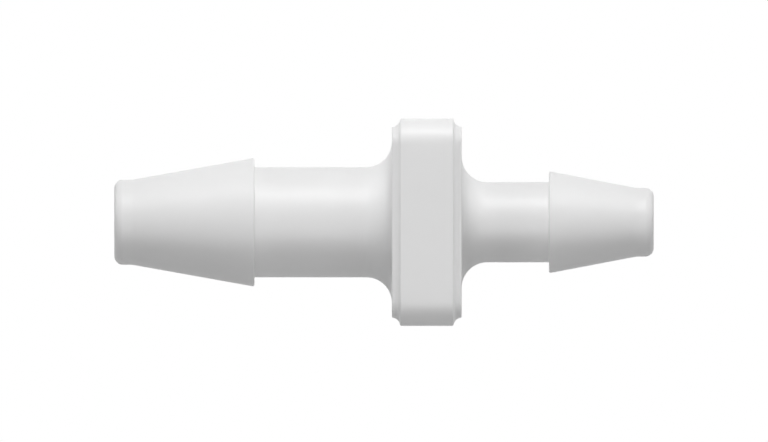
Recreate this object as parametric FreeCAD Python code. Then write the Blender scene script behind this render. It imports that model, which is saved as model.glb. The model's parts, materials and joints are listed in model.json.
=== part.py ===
import FreeCAD, Part
import math
import os

from FreeCAD import Vector

# Reducing hose nipple, moulded in one piece. Two barbed stems, one for a wide hose and one for a narrow
# hose, stand back to back on a square collar, and a stepped passage runs through all three.
# Sizes are in millimetres.

# Wide stem, on the -X side of the collar
WIDE_BORE_D = 5.8
WIDE_NECK_D = 10.1
WIDE_NECK_LENGTH = 12.6
WIDE_BARB_STEP = 0.85
WIDE_CONE_LENGTH = 11.2
WIDE_TIP_LENGTH = 1.65

# Narrow stem, on the +X side of the collar
NARROW_BORE_D = 4.3
NARROW_NECK_D = 7.35
NARROW_NECK_LENGTH = 8.0
NARROW_BARB_STEP = 1.0
NARROW_CONE_LENGTH = 8.0
NARROW_TIP_LENGTH = 1.6

# Details that both stems share
TIP_WALL = 1.0
TIP_EDGE_R = 0.8
ROOT_R = 2.35

# Collar
COLLAR_WIDTH = 19.0
COLLAR_THICKNESS = 6.4
COLLAR_CORNER_R = 2.35
COVE_R = 0.75

# Taper between the two bores, in the middle of the collar
TAPER_LENGTH = 1.5

# How far a cutting tool runs past the face that it cuts, and how near two points are to count as one
RUN_OUT = 1.0
SAME_POINT = 1e-6

MIDDLE = Vector(0, 0, 0)
AXIS = Vector(1, 0, 0)


class Stem:
    """One barbed stem, measured outwards from the middle of the collar. side is -1 for -X and +1 for +X.

    Its outline runs through corners, each given as (along the axis, out from the axis, rounding radius).
    """

    def __init__(self, side, bore_d, neck_d, neck_length, barb_step, cone_length, tip_length):
        self.side = side
        self.bore_r = bore_d / 2
        neck_r = neck_d / 2
        tip_r = self.bore_r + TIP_WALL
        foot = COLLAR_THICKNESS / 2
        shoulder = foot + neck_length
        cone_end = shoulder + cone_length
        self.end = cone_end + tip_length
        root_r = min(ROOT_R, COLLAR_WIDTH / 2 - COVE_R - neck_r)
        self.buried = [(0, 0, 0), (0, neck_r + root_r, 0), (foot, neck_r + root_r, 0)]
        self.root = (foot, neck_r, root_r)
        self.neck_end = (shoulder, neck_r, 0)
        self.rim = (shoulder, neck_r + barb_step, 0)
        self.cone_end = (cone_end, tip_r, 0)
        self.tip = (self.end, tip_r, min(TIP_EDGE_R, TIP_WALL, tip_length))
        self.tip_middle = (self.end, 0, 0)

    def place(self, along, out):
        return Vector(self.side * along, 0, out)

    def core(self):
        """The stem without its bore: root fillet, neck, square shoulder, cone and round-edged tip."""
        seen = [self.root, self.neck_end, self.rim, self.cone_end, self.tip, self.tip_middle]
        return turned(self.buried + seen, self.place)


WIDE = Stem(
    side=-1,
    bore_d=WIDE_BORE_D,
    neck_d=WIDE_NECK_D,
    neck_length=WIDE_NECK_LENGTH,
    barb_step=WIDE_BARB_STEP,
    cone_length=WIDE_CONE_LENGTH,
    tip_length=WIDE_TIP_LENGTH,
)
NARROW = Stem(
    side=1,
    bore_d=NARROW_BORE_D,
    neck_d=NARROW_NECK_D,
    neck_length=NARROW_NECK_LENGTH,
    barb_step=NARROW_BARB_STEP,
    cone_length=NARROW_CONE_LENGTH,
    tip_length=NARROW_TIP_LENGTH,
)


def rounding(before, corner, after, radius):
    """Centre, start and end of the arc of that radius that is tangent to both lines at the corner."""
    back = (before - corner).normalize()
    onward = (after - corner).normalize()
    half_angle = back.getAngle(onward) / 2
    setback = radius / math.tan(half_angle)
    centre = corner + (back + onward).normalize() * (radius / math.sin(half_angle))
    return centre, corner + back * setback, corner + onward * setback


def arc(centre, start, end):
    """The shorter arc about the centre from start to end."""
    radius = start.distanceToPoint(centre)
    middle = centre + ((start + end) / 2 - centre).normalize() * radius
    return Part.Arc(start, middle, end).toShape()


def outline(corners, place):
    """Closed wire with rounded corners.

    A corner is (first, second, radius), and place makes a point of the first two.
    """
    points = [place(first, second) for first, second, _ in corners]
    radii = [radius for _, _, radius in corners]
    arcs = [
        rounding(before, corner, after, radius)
        for before, corner, after, radius in zip(points[-1:] + points, points, points[1:] + points[:1], radii)
    ]
    edges = []
    for (centre, start, end), (_, next_start, _) in zip(arcs, arcs[1:] + arcs[:1]):
        if not start.isEqual(end, SAME_POINT):
            edges.append(arc(centre, start, end))
        if not end.isEqual(next_start, SAME_POINT):
            edges.append(Part.LineSegment(end, next_start).toShape())
    return Part.Wire(edges)


def turned(corners, place):
    """Solid of revolution about the X axis."""
    return Part.Face(outline(corners, place)).revolve(MIDDLE, AXIS, 360)


def collar_outline(x):
    """The collar's rounded square, at that x."""
    half = COLLAR_WIDTH / 2
    corners = [
        (-half, -half, COLLAR_CORNER_R),
        (half, -half, COLLAR_CORNER_R),
        (half, half, COLLAR_CORNER_R),
        (-half, half, COLLAR_CORNER_R),
    ]
    return outline(corners, lambda across, up: Vector(x, across, up))


def cove_cutter(side):
    """Round bar, bent along one edge of the collar, that cuts a hollow quarter round from it."""
    x = side * COLLAR_THICKNESS / 2
    bar_end = Part.Wire(Part.makeCircle(COVE_R, Vector(x, 0, COLLAR_WIDTH / 2), Vector(0, 1, 0)))
    return collar_outline(x).makePipe(Part.Face(bar_end))


def collar():
    """Square block with rounded corners and a cove round both of its faces."""
    block = Part.Face(collar_outline(-COLLAR_THICKNESS / 2)).extrude(AXIS * COLLAR_THICKNESS)
    return block.cut([cove_cutter(-1), cove_cutter(1)])


def passage():
    """What flows through: the wide bore, the taper and the narrow bore."""
    corners = [
        (-WIDE.end - RUN_OUT, 0, 0),
        (-WIDE.end - RUN_OUT, WIDE.bore_r, 0),
        (-TAPER_LENGTH / 2, WIDE.bore_r, 0),
        (TAPER_LENGTH / 2, NARROW.bore_r, 0),
        (NARROW.end + RUN_OUT, NARROW.bore_r, 0),
        (NARROW.end + RUN_OUT, 0, 0),
    ]
    return turned(corners, NARROW.place)


def nipple():
    """The whole moulding, with its axis along X and the middle of the collar at the origin."""
    body = collar().fuse([WIDE.core(), NARROW.core()]).removeSplitter()
    return body.cut(passage())


def dip(before, corner, after):
    """Degrees that the axis leans when a table touches the collar's edge and that corner of the wide stem."""
    radius = corner[2]
    centre = rounding(*[WIDE.place(along, out) for along, out, _ in (before, corner, after)], radius)[0]
    between = Vector(COVE_R - COLLAR_THICKNESS / 2, 0, COLLAR_WIDTH / 2) - centre
    return math.degrees(math.atan2(between.z, between.x) - math.asin(radius / between.Length))


def rest_tilt():
    """The lean at rest: the wide stem is the heavier, and dips until its tip or its rim meets the table."""
    return min(dip(WIDE.neck_end, WIDE.rim, WIDE.cone_end), dip(WIDE.cone_end, WIDE.tip, WIDE.tip_middle))


def laid_down(body):
    """The nipple lying on a table, on its collar and wide tip, with the origin under its box's middle."""
    body = body.rotated(MIDDLE, Vector(0, -1, 0), rest_tilt())
    box = body.optimalBoundingBox(False)
    return body.translated(Vector(-box.Center.x, 0, -box.ZMin))


os.makedirs("parts", exist_ok=True)
laid_down(nipple()).exportStep("parts/hose_nipple.step")
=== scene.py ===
import json
import math
from collections import namedtuple

import bmesh
import bpy
from bpy.props import FloatProperty, FloatVectorProperty, IntProperty, PointerProperty
from bpy.types import Operator, Panel, PropertyGroup
from mathutils import Matrix, Vector


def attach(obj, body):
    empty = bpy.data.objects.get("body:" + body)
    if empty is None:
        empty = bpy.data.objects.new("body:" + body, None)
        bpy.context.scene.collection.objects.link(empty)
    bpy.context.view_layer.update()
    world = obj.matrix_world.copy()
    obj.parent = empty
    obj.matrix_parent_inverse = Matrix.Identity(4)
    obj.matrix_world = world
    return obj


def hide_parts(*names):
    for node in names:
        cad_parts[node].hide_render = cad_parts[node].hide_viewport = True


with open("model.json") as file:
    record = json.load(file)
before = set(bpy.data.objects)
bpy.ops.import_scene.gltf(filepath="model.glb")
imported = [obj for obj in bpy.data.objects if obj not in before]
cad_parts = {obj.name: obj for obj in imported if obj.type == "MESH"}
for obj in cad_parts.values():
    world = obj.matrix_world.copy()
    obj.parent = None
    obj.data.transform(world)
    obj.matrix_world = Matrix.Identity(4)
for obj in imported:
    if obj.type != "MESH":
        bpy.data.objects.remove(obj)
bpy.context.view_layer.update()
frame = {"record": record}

bl_info = {
    "name": "Reducing Hose Nipple",
    "version": (1, 0, 0),
    "blender": (4, 5, 0),
    "location": "3D View > Sidebar > Hose Nipple",
    "description": "A reducing hose nipple in satin white plastic, lying on a pale floor in soft light",
    "category": "Add Mesh",
}

MM = 0.001

# Fewest facets along a round stretch of the section
FEWEST_STEPS = 2

# Nearest and farthest that the camera sees, as shares of its distance from the nipple
CLIP_NEAR = 0.01
CLIP_FAR = 10.0

# The nipple's own directions and the middle of its collar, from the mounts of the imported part
MOUNTS = {mount["name"]: mount for mount in frame["record"]["mounts"]}
ALONG = Vector(MOUNTS["narrow_bore"]["axis"]).normalized()
ACROSS = Vector(MOUNTS["collar_flat_back"]["axis"]).normalized()
UP = ALONG.cross(ACROSS)
FLATS = [Vector(MOUNTS[name]["pos_m"]) for name in ("collar_flat_front", "collar_flat_back")]
MIDDLE = (FLATS[0] + FLATS[1]) / 2
LEANING = Matrix((ALONG, ACROSS, UP)).transposed()
BORES = {name: MOUNTS[name]["dims"]["r_mm"] * MM for name in ("wide_bore", "narrow_bore")}


def length(name, description, millimetres):
    """A length that a user may change, given in millimetres and kept in metres."""
    return FloatProperty(
        name=name, description=description, default=millimetres * MM, min=0.0, precision=5, unit="LENGTH"
    )


def angle(name, description, degrees):
    """An angle that a user may change."""
    return FloatProperty(name=name, description=description, default=math.radians(degrees), subtype="ANGLE")


def share(name, description, default):
    """A number from 0 to 1 that a user may change."""
    return FloatProperty(
        name=name, description=description, default=default, min=0.0, max=1.0, subtype="FACTOR"
    )


def pale_colour(name, description, brightness):
    """A colour that a user may change, at first a white of that brightness."""
    return FloatVectorProperty(
        name=name, description=description, default=(brightness,) * 3, min=0.0, max=1.0, subtype="COLOR"
    )


def watts(name, description, default):
    """A lamp's power."""
    return FloatProperty(
        name=name, description=description, default=default, min=0.0, precision=4, unit="POWER"
    )


class MouldingSizes(PropertyGroup):
    """Outline of the nipple, measured out from the middle of the collar."""

    wide_neck: length("Wide neck", "Diameter of the wide stem between barb and collar", 10.1)
    wide_neck_length: length("Wide neck length", "From the collar to the wide barb's shoulder", 12.6)
    wide_barb_step: length("Wide barb step", "How far the wide barb stands out from its neck", 0.85)
    wide_cone_length: length("Wide cone length", "From the wide barb's shoulder to its tip", 11.2)
    wide_tip_length: length("Wide tip length", "Straight end beyond the wide cone", 1.65)
    narrow_neck: length("Narrow neck", "Diameter of the narrow stem between barb and collar", 7.35)
    narrow_neck_length: length("Narrow neck length", "From the collar to the narrow barb's shoulder", 8.0)
    narrow_barb_step: length("Narrow barb step", "How far the narrow barb stands out from its neck", 1.0)
    narrow_cone_length: length("Narrow cone length", "From the narrow barb's shoulder to its tip", 8.0)
    narrow_tip_length: length("Narrow tip length", "Straight end beyond the narrow cone", 1.6)
    tip_wall: length("Tip wall", "Wall between the bore and the outside at both tips", 1.0)
    tip_edge: length("Tip edge", "Rounding of the outer edge of both tips", 0.8)
    root: length("Root", "Fillet between each neck and the collar", 2.35)
    collar: length("Collar", "Distance across the collar's flats", 19.0)
    collar_thickness: length("Collar thickness", "From face to face of the collar", 6.4)
    collar_corner: length("Collar corner", "Radius of the collar's four corners", 2.35)
    cove: length("Cove", "Radius of the hollow round both edges of the collar", 0.75)
    taper: length("Taper", "Length of the taper between the two bores", 1.5)


class EdgeSizes(PropertyGroup):
    """Small roundings that a mould leaves on the edges."""

    rim: length("Rim", "Rounding of the barbs' rims", 0.15)
    band: length("Band", "Rounding of the edges between the collar's band and its coves", 0.16)
    face: length("Face", "Rounding of the edges between the coves and the collar's faces", 0.12)
    shoulder: length("Shoulder", "Fillet in the corner where a barb's shoulder meets its neck", 0.08)
    land: length("Land", "Rounding where a cone runs into its tip", 3.0)
    mouth: length("Mouth", "Rounding of the edges of both mouths", 0.08)
    seat: length("Seat", "Rounding at both ends of the taper in the passage", 0.3)


class MeshSteps(PropertyGroup):
    """How finely the round surfaces are divided."""

    flat_steps: IntProperty(
        name="Flat steps", description="Facets along each half of the collar's flats", default=13, min=1
    )
    corner_steps: IntProperty(
        name="Corner steps", description="Facets round each of the collar's corners", default=22, min=1
    )
    sagitta: length("Sagitta", "Farthest that a facet may lie from a rounded edge", 0.0015)


class Polypropylene(PropertyGroup):
    """Finish of the moulding."""

    colour: pale_colour("Colour", "Natural white", 0.9)
    cloud: pale_colour("Cloud", "Slightly deeper white, in clouds", 0.88)
    cloud_size: length("Cloud size", "Width of the clouds in the colour", 5.0)
    satin: share("Satin", "Roughness where the surface is smoothest", 0.42)
    matt: share("Matt", "Roughness where the surface is dullest", 0.48)
    sheen_size: length("Sheen size", "Width of the patches of duller surface", 1.5)
    grain_size: length("Grain size", "Width of the grain that the mould leaves", 0.12)
    grain_depth: length("Grain depth", "Depth of that grain", 0.002)
    translucence: share("Translucence", "Share of the light that travels inside the plastic", 0.4)
    glow_depth: length("Glow depth", "How far that light travels", 2.2)
    refraction: FloatProperty(name="Refraction", description="Index of refraction", default=1.49, min=1.0)


class Studio(PropertyGroup):
    """Floor, light and view."""

    floor_width: length("Floor width", "Side of the square floor", 1600.0)
    ambient: FloatProperty(name="Ambient", description="Even light from all round", default=0.11, min=0.0)
    lamp_distance: length("Lamp distance", "From the collar's middle to each lamp", 250.0)
    lamp_width: length("Lamp width", "Side of each square lamp", 90.0)
    key_power: watts("Key power", "Of the lamp high in front", 0.32)
    key_height: angle("Key height", "Of that lamp, about the nipple's axis", 58.0)
    front_power: watts("Front power", "Of the lamp low in front", 0.115)
    front_height: angle("Front height", "Of that lamp, about the nipple's axis", -20.0)
    flank_power: watts("Flank power", "Of each of the two lamps beside the key", 0.065)
    flank_height: angle("Flank height", "Of those lamps, about the nipple's axis", 60.0)
    flank_swing: angle("Flank swing", "Of those lamps, out towards the ends", 35.0)
    low_power: watts("Low power", "Of each of the two lamps that light the underside", 0.046)
    low_height: angle("Low height", "Of those lamps, about the nipple's axis", -40.0)
    low_swing: angle("Low swing", "Of those lamps, out towards the ends", 35.0)
    end_power: watts("End power", "Of each of the two lamps over the ends", 0.106)
    end_height: angle("End height", "Of those lamps, about the nipple's axis", 110.0)
    end_swing: angle("End swing", "Of those lamps, out towards the ends", 65.0)
    back_power: watts("Back power", "Of the lamp behind the nipple", 0.28)
    back_height: angle("Back height", "Of that lamp, about the nipple's axis", 180.0)
    view_width: length("View width", "Width of the picture", 70.39)
    view_shift_along: length("View shift along", "From the picture's middle along to the collar's", 3.923)
    view_shift_up: length("View shift up", "From the collar's middle up to the picture's", 0.114)
    view_distance: length("View distance", "From the camera to the nipple's axis", 300.0)


class HoseNipple(PropertyGroup):
    """Everything that the sidebar shows."""

    sizes: PointerProperty(type=MouldingSizes)
    edges: PointerProperty(type=EdgeSizes)
    steps: PointerProperty(type=MeshSteps)
    finish: PointerProperty(type=Polypropylene)
    studio: PointerProperty(type=Studio)


# A corner of the lengthwise section: along the axis, out from it, and the rounding there. Where the section
# crosses a cove, cove is its radius, and rounding and last_rounding are those of its two edges.
Corner = namedtuple("Corner", "along out rounding cove last_rounding", defaults=(0.0, 0.0))

# A round stretch of the section. The surface's normal turns from start to end, and a hollow's radius is
# negative.
Bend = namedtuple("Bend", "along out radius start end")

# One station of the section, with the direction that its surface faces
Station = namedtuple("Station", "along out facing")


def stem_corners(side, bore_radius, neck, neck_length, barb_step, cone_length, tip_length, sizes, edges):
    """Corners of a stem, from the mouth to the collar. side is -1 for the wide stem and 1 for the narrow."""
    foot = sizes.collar_thickness / 2
    shoulder = foot + neck_length
    cone_end = shoulder + cone_length
    end = cone_end + tip_length
    tip = bore_radius + sizes.tip_wall
    neck_radius = neck / 2
    return [
        Corner(side * end, bore_radius, edges.mouth),
        Corner(side * end, tip, sizes.tip_edge),
        Corner(side * cone_end, tip, edges.land),
        Corner(side * shoulder, neck_radius + barb_step, edges.rim),
        Corner(side * shoulder, neck_radius, edges.shoulder),
        Corner(side * foot, neck_radius, sizes.root),
    ]


def section_corners(sizes, edges):
    """Closed section of the wall: out along both stems and the collar, and back through the passage."""
    wide = stem_corners(
        -1, BORES["wide_bore"], sizes.wide_neck, sizes.wide_neck_length, sizes.wide_barb_step,
        sizes.wide_cone_length, sizes.wide_tip_length, sizes, edges,
    )
    narrow = stem_corners(
        1, BORES["narrow_bore"], sizes.narrow_neck, sizes.narrow_neck_length, sizes.narrow_barb_step,
        sizes.narrow_cone_length, sizes.narrow_tip_length, sizes, edges,
    )
    foot, half = sizes.collar_thickness / 2, sizes.collar / 2
    collar = [
        Corner(-foot, half, edges.face, sizes.cove, edges.band),
        Corner(foot, half, edges.band, sizes.cove, edges.face),
    ]
    passage = [
        Corner(sizes.taper / 2, BORES["narrow_bore"], edges.seat),
        Corner(-sizes.taper / 2, BORES["wide_bore"], edges.seat),
    ]
    return wide + collar + narrow[::-1] + passage


def facing(direction):
    """Unit vector at that angle from the axis."""
    return Vector((math.cos(direction), math.sin(direction)))


def rounded(corner, start, turn):
    """The arc that touches both lines at a corner, where the surface's normal turns from start."""
    radius = -math.copysign(corner.rounding, turn)
    towards_corner = facing(start) + facing(start + turn)
    centre = Vector((corner.along, corner.out)) - towards_corner * (radius / (1 + math.cos(turn)))
    return [Bend(centre.x, centre.y, radius, start, start + turn)]


def coved(corner, start, turn):
    """A hollow about the corner itself, and the small roundings of its two edges."""
    first, last = corner.rounding, corner.last_rounding
    first_facing = start + turn + math.asin(first / (corner.cove + first))
    last_facing = start - math.asin(last / (corner.cove + last))
    middle = Vector((corner.along, corner.out))
    first_centre = middle - facing(first_facing) * (corner.cove + first)
    last_centre = middle - facing(last_facing) * (corner.cove + last)
    return [
        Bend(first_centre.x, first_centre.y, first, start, first_facing),
        Bend(middle.x, middle.y, -corner.cove, first_facing, last_facing),
        Bend(last_centre.x, last_centre.y, last, last_facing, start + turn),
    ]


def section_bends(corners):
    """The round stretches at all corners, in order round the closed section."""
    bends = []
    for before, corner, after in zip(corners[-1:] + corners, corners, corners[1:] + corners[:1]):
        arriving = Vector((corner.along - before.along, corner.out - before.out))
        leaving = Vector((after.along - corner.along, after.out - corner.out))
        start = math.atan2(arriving.y, arriving.x) + math.pi / 2
        turn = -arriving.angle_signed(leaving)
        shape = coved if corner.cove else rounded
        bends += shape(corner, start, turn)
    return bends


def stations(bends, sagitta):
    """Stations along every bend, close enough for the facets between them to stay within the sagitta."""
    found = []
    for bend in bends:
        widest_step = 2 * math.acos(1 - min(sagitta / abs(bend.radius), 1))
        steps = max(FEWEST_STEPS, math.ceil(abs(bend.end - bend.start) / widest_step))
        for step in range(steps + 1):
            direction = bend.start + (bend.end - bend.start) * step / steps
            outward = facing(direction)
            along = bend.along + bend.radius * outward.x
            out = bend.out + bend.radius * outward.y
            found.append(Station(along, out, outward))
    return found


def round_ring(out, count):
    """Points and outward directions round the axis, seen along it, from beside the middle of a flat."""
    directions = [facing(2 * math.pi * (index + 0.5) / count) for index in range(count)]
    return [(direction * out, direction) for direction in directions]


def square_ring(out, corner_radius, flat_steps, corner_steps):
    """The same for a rounded square whose flats are that far out."""
    straight = out - corner_radius
    quarter = []
    for step in range(flat_steps):
        quarter.append((Vector((out, straight * (step + 0.5) / flat_steps)), Vector((1, 0))))
    for step in range(corner_steps):
        direction = facing(math.pi / 2 * (step + 0.5) / corner_steps)
        quarter.append((Vector((straight, straight)) + direction * corner_radius, direction))
    for step in range(flat_steps):
        quarter.append((Vector((straight * (flat_steps - step - 0.5) / flat_steps, out)), Vector((0, 1))))
    ring = []
    for quarter_turns in range(4):
        rotation = Matrix.Rotation(quarter_turns * math.pi / 2, 2)
        ring += [(rotation @ point, rotation @ outward) for point, outward in quarter]
    return ring


def moulding_rings(sizes, edges, steps):
    """Every ring of the moulding, as (point, normal) pairs in the nipple's own directions."""
    count = 4 * (2 * steps.flat_steps + steps.corner_steps)
    collar_starts = sizes.collar / 2 - sizes.cove - edges.face
    corner_inset = sizes.collar / 2 - sizes.collar_corner
    rings = []
    for station in stations(section_bends(section_corners(sizes, edges)), steps.sagitta):
        if station.out < collar_starts:
            flat_ring = round_ring(station.out, count)
        else:
            corner_radius = station.out - corner_inset
            flat_ring = square_ring(station.out, corner_radius, steps.flat_steps, steps.corner_steps)
        ring = []
        for point, outward in flat_ring:
            normal = Vector((station.facing.x, outward.x * station.facing.y, outward.y * station.facing.y))
            ring.append((Vector((station.along, point.x, point.y)), normal))
        rings.append(ring)
    return rings


def moulding_mesh(sizes, edges, steps):
    """One closed skin through all rings, laid on the floor, with the true normals of its surfaces."""
    rings = moulding_rings(sizes, edges, steps)
    skin = bmesh.new()
    rows = [[skin.verts.new(LEANING @ point + MIDDLE) for point, _ in ring] for ring in rings]
    for row, next_row in zip(rows, rows[1:] + rows[:1]):
        for index in range(len(row)):
            after = (index + 1) % len(row)
            skin.faces.new((row[after], next_row[after], next_row[index], row[index])).smooth = True
    lowest = min(vertex.co.z for vertex in skin.verts)
    bmesh.ops.translate(skin, vec=(0, 0, -lowest), verts=skin.verts)
    mesh = bpy.data.meshes.new("moulding")
    skin.to_mesh(mesh)
    skin.free()
    mesh.normals_split_custom_set_from_vertices([LEANING @ normal for ring in rings for _, normal in ring])
    return mesh


class NodeTree:
    """Adds nodes to a material or world, and links them."""

    def __init__(self, owner):
        owner.use_nodes = True
        self.tree = owner.node_tree
        self.tree.nodes.clear()

    def add(self, kind, links=None, **values):
        """A node of that kind, with its inputs linked to sockets or set, and its settings set, by name."""
        node = self.tree.nodes.new(kind)
        for name, value in values.items():
            if hasattr(node, name):
                setattr(node, name, value)
            else:
                node.inputs[name.replace("_", " ")].default_value = value
        for name, socket in (links or {}).items():
            self.tree.links.new(socket, node.inputs[name])
        return node


def cycles_per_metre(width):
    """Noise scale whose features are that wide."""
    return 1 / width


def polypropylene(finish):
    """Satin natural white: faint clouds in the colour, uneven sheen and the fine grain of the mould."""
    material = bpy.data.materials.new("satin_polypropylene")
    nodes = NodeTree(material)
    place = nodes.add("ShaderNodeTexCoord").outputs["Object"]

    def noise(width, detail):
        """Noise with features of that width."""
        texture = nodes.add(
            "ShaderNodeTexNoise", {"Vector": place}, Scale=cycles_per_metre(width), Detail=detail
        )
        return texture.outputs["Fac"]

    clouds = nodes.add("ShaderNodeMix", {"Factor": noise(finish.cloud_size, detail=2.0)}, data_type="RGBA")
    clouds.inputs["A"].default_value = (*finish.colour, 1)
    clouds.inputs["B"].default_value = (*finish.cloud, 1)
    sheen = nodes.add(
        "ShaderNodeMapRange",
        {"Value": noise(finish.sheen_size, detail=3.0)},
        To_Min=finish.satin,
        To_Max=finish.matt,
    )
    grain = nodes.add(
        "ShaderNodeBump",
        {"Height": noise(finish.grain_size, detail=2.0)},
        Strength=1.0,
        Distance=finish.grain_depth,
    )
    plastic = nodes.add(
        "ShaderNodeBsdfPrincipled",
        {
            "Base Color": clouds.outputs["Result"],
            "Roughness": sheen.outputs["Result"],
            "Normal": grain.outputs["Normal"],
        },
        IOR=finish.refraction,
        Subsurface_Weight=finish.translucence,
        Subsurface_Scale=finish.glow_depth,
        Subsurface_Radius=(1.0, 1.0, 1.0),
    )
    nodes.add("ShaderNodeOutputMaterial", {"Surface": plastic.outputs["BSDF"]})
    return material


def any_ray(nodes, *kinds):
    """1 for rays of those kinds and 0 for all others."""
    path = nodes.add("ShaderNodeLightPath")
    found = path.outputs[kinds[0]]
    for kind in kinds[1:]:
        either = nodes.add("ShaderNodeMath", operation="MAXIMUM")
        nodes.tree.links.new(found, either.inputs[0])
        nodes.tree.links.new(path.outputs[kind], either.inputs[1])
        found = either.outputs["Value"]
    return found


def pale_floor():
    """White floor that keeps the nipple's shadow, and lets the light from below through."""
    material = bpy.data.materials.new("pale_floor")
    nodes = NodeTree(material)
    clear = nodes.add("ShaderNodeBsdfTransparent")
    matt = nodes.add("ShaderNodeBsdfDiffuse", Color=(1, 1, 1, 1))
    both = nodes.add("ShaderNodeMixShader", {"Fac": any_ray(nodes, "Is Camera Ray", "Is Transmission Ray")})
    nodes.tree.links.new(clear.outputs["BSDF"], both.inputs[1])
    nodes.tree.links.new(matt.outputs["BSDF"], both.inputs[2])
    nodes.add("ShaderNodeOutputMaterial", {"Surface": both.outputs["Shader"]})
    return material


def add_world(studio):
    """Even light from all round, in front of a white background."""
    world = bpy.data.worlds.new("white_surroundings")
    bpy.context.scene.world = world
    nodes = NodeTree(world)
    light = nodes.add("ShaderNodeBackground", Color=(1, 1, 1, 1), Strength=studio.ambient)
    white = nodes.add("ShaderNodeBackground", Color=(1, 1, 1, 1), Strength=1.0)
    seen = any_ray(nodes, "Is Camera Ray", "Is Glossy Ray", "Is Transmission Ray")
    both = nodes.add("ShaderNodeMixShader", {"Fac": seen})
    nodes.tree.links.new(light.outputs["Background"], both.inputs[1])
    nodes.tree.links.new(white.outputs["Background"], both.inputs[2])
    nodes.add("ShaderNodeOutputWorld", {"Surface": both.outputs["Shader"]})


def add_floor(studio):
    """Square floor under the nipple."""
    sheet = bmesh.new()
    bmesh.ops.create_grid(sheet, x_segments=1, y_segments=1, size=studio.floor_width / 2)
    mesh = bpy.data.meshes.new("floor")
    sheet.to_mesh(mesh)
    sheet.free()
    mesh.materials.append(pale_floor())
    floor = bpy.data.objects.new("floor", mesh)
    bpy.context.collection.objects.link(floor)


def turned_to(back, right):
    """Rotation of a lamp or camera that has that direction behind it and that one on its right."""
    return Matrix((right, back.cross(right), back)).transposed()


def add_softbox(name, studio, power, height, swing=0.0, mirrored=True):
    """Square lamp that shines on the collar, that high about the nipple's axis and swung that far along it.

    A lamp that isn't mirrored lights the nipple but doesn't gleam in its surface.
    """
    lamp = bpy.data.lights.new(name, "AREA")
    lamp.shape = "SQUARE"
    lamp.size = studio.lamp_width
    lamp.energy = power
    beside = UP * math.sin(height) - ACROSS * math.cos(height)
    away = beside * math.cos(swing) + ALONG * math.sin(swing)
    right = ALONG * math.cos(swing) - beside * math.sin(swing)
    softbox = bpy.data.objects.new(name, lamp)
    softbox.visible_camera = False
    softbox.visible_glossy = mirrored
    place = Matrix.Translation(MIDDLE + away * studio.lamp_distance)
    softbox.matrix_world = place @ turned_to(away, right).to_4x4()
    bpy.context.collection.objects.link(softbox)


def add_softbox_pair(name, studio, power, height, swing):
    """Two such lamps, one towards each end of the nipple."""
    add_softbox(name + "_wide_side", studio, power, height, -swing)
    add_softbox(name + "_narrow_side", studio, power, height, swing)


def add_camera(studio):
    """Level view square on to the nipple's axis, rolled so that the axis looks level."""
    camera = bpy.data.cameras.new("camera")
    camera.type = "ORTHO"
    camera.ortho_scale = studio.view_width
    camera.clip_start = CLIP_NEAR * studio.view_distance
    camera.clip_end = CLIP_FAR * studio.view_distance
    picture_middle = MIDDLE - ALONG * studio.view_shift_along + UP * studio.view_shift_up
    place = picture_middle - ACROSS * studio.view_distance
    viewer = bpy.data.objects.new("camera", camera)
    viewer.matrix_world = Matrix.Translation(place) @ turned_to(-ACROSS, ALONG).to_4x4()
    bpy.context.collection.objects.link(viewer)
    bpy.context.scene.camera = viewer


class HOSENIPPLE_OT_moulding(Operator):
    """Moulds the nipple: two barbed stems, the coved collar between them and the passage through all three"""

    bl_idname = "hose_nipple.moulding"
    bl_label = "Moulding"

    def execute(self, context):
        nipple = context.scene.hose_nipple
        mesh = moulding_mesh(nipple.sizes, nipple.edges, nipple.steps)
        mesh.materials.append(polypropylene(nipple.finish))
        moulding = bpy.data.objects.new("moulding", mesh)
        context.collection.objects.link(moulding)
        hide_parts("hose_nipple")
        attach(moulding, "root")
        return {"FINISHED"}


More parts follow.
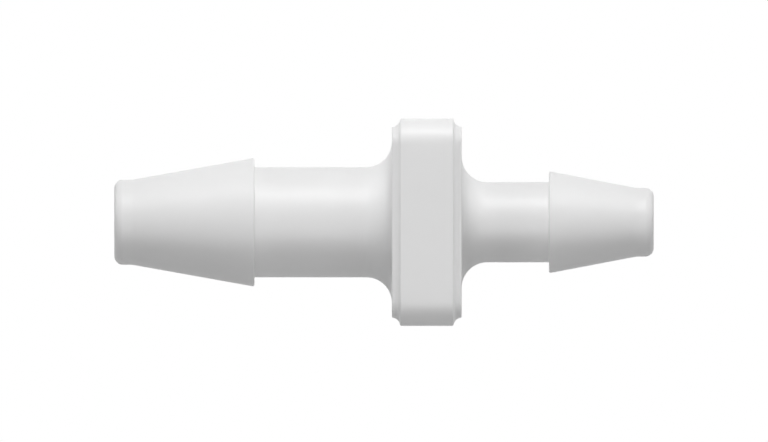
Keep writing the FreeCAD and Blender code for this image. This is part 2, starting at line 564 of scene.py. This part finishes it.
class HOSENIPPLE_OT_stage(Operator):
    """Lays a pale floor under the nipple, lights it softly and looks at it square on"""

    bl_idname = "hose_nipple.stage"
    bl_label = "Stage"

    def execute(self, context):
        studio = context.scene.hose_nipple.studio
        context.scene.view_settings.view_transform = "Standard"
        add_world(studio)
        add_floor(studio)
        add_softbox("key_lamp", studio, studio.key_power, studio.key_height)
        add_softbox("front_lamp", studio, studio.front_power, studio.front_height)
        add_softbox_pair("flank_lamp", studio, studio.flank_power, studio.flank_height, studio.flank_swing)
        add_softbox_pair("low_lamp", studio, studio.low_power, studio.low_height, studio.low_swing)
        add_softbox_pair("end_lamp", studio, studio.end_power, studio.end_height, studio.end_swing)
        add_softbox("back_lamp", studio, studio.back_power, studio.back_height, mirrored=False)
        add_camera(studio)
        return {"FINISHED"}


class HOSENIPPLE_PT_sidebar(Panel):
    """Sizes, finish and light of the hose nipple, and the steps that build it"""

    bl_idname = "HOSENIPPLE_PT_sidebar"
    bl_label = "Hose Nipple"
    bl_space_type = "VIEW_3D"
    bl_region_type = "UI"
    bl_category = "Hose Nipple"

    def draw(self, context):
        nipple = context.scene.hose_nipple
        for operator, groups in (
            (HOSENIPPLE_OT_moulding, (nipple.sizes, nipple.edges, nipple.steps, nipple.finish)),
            (HOSENIPPLE_OT_stage, (nipple.studio,)),
        ):
            box = self.layout.box()
            box.operator(operator.bl_idname)
            for group in groups:
                for name in group.__annotations__:
                    box.prop(group, name)


CLASSES = (
    MouldingSizes,
    EdgeSizes,
    MeshSteps,
    Polypropylene,
    Studio,
    HoseNipple,
    HOSENIPPLE_OT_moulding,
    HOSENIPPLE_OT_stage,
    HOSENIPPLE_PT_sidebar,
)


def register():
    for each in CLASSES:
        bpy.utils.register_class(each)
    bpy.types.Scene.hose_nipple = PointerProperty(type=HoseNipple)


def unregister():
    del bpy.types.Scene.hose_nipple
    for each in reversed(CLASSES):
        bpy.utils.unregister_class(each)


def main():
    """Builds the nipple and its stage."""
    register()
    bpy.ops.hose_nipple.moulding()
    bpy.ops.hose_nipple.stage()


if __name__ == "__main__":
    main()
